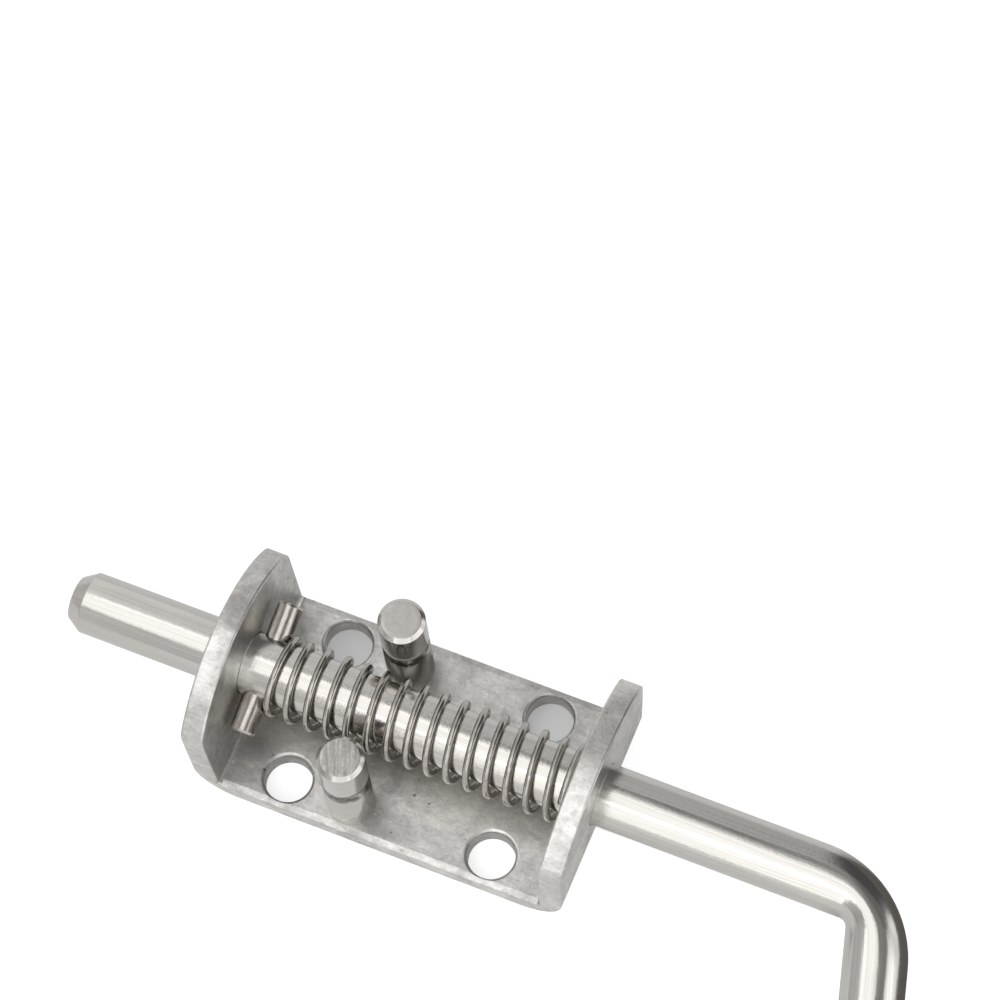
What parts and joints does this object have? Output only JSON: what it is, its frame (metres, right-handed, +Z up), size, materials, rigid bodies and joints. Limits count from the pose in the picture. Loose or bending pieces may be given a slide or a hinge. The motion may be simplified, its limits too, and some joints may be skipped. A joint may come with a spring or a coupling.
{
  "type": "spring loaded gate latch",
  "caption": "Gate latch with a spring loaded sliding bolt in a folded steel bracket, a bent handle and stop posts that hold it open.",
  "frame": {"origin": "centre of the four screw holes at the bracket's underside", "axes": "+Z up off the mounting face, +X along the bolt towards the handle, +Y away from the handle's side"},
  "size_m": [0.1807, 0.0704, 0.0352],
  "materials": {
    "bracket_steel": "satin, lightly tumbled",
    "post_steel": "turned",
    "rod_steel": "drawn, semi-bright",
    "pin_steel": "bright",
    "spring_steel": "bright wire"
  },
  "bodies": {
    "bracket_assembly": {"bracket": "bracket_steel", "front_stop_post": "post_steel", "rear_stop_post": "post_steel"},
    "spring_end": {"return_spring": "spring_steel"},
    "bolt_assembly": {"bolt_rod": "rod_steel", "cross_pin": "pin_steel"}
  },
  "joints": [
    {"name": "bolt_slide", "type": "slide", "parent": "bracket_assembly", "child": "spring_end", "axis": [1, 0, 0], "range_m": [0, 0.015], "stiffness_N_per_m": 1260, "springref_m": -0.012, "deforming": ["return_spring"]},
    {"name": "handle_turn", "type": "hinge", "parent": "spring_end", "child": "bolt_assembly", "pos_m": [0, 0, 0.0185], "axis": [-1, 0, 0], "range_deg": [0, 209]}
  ]
}
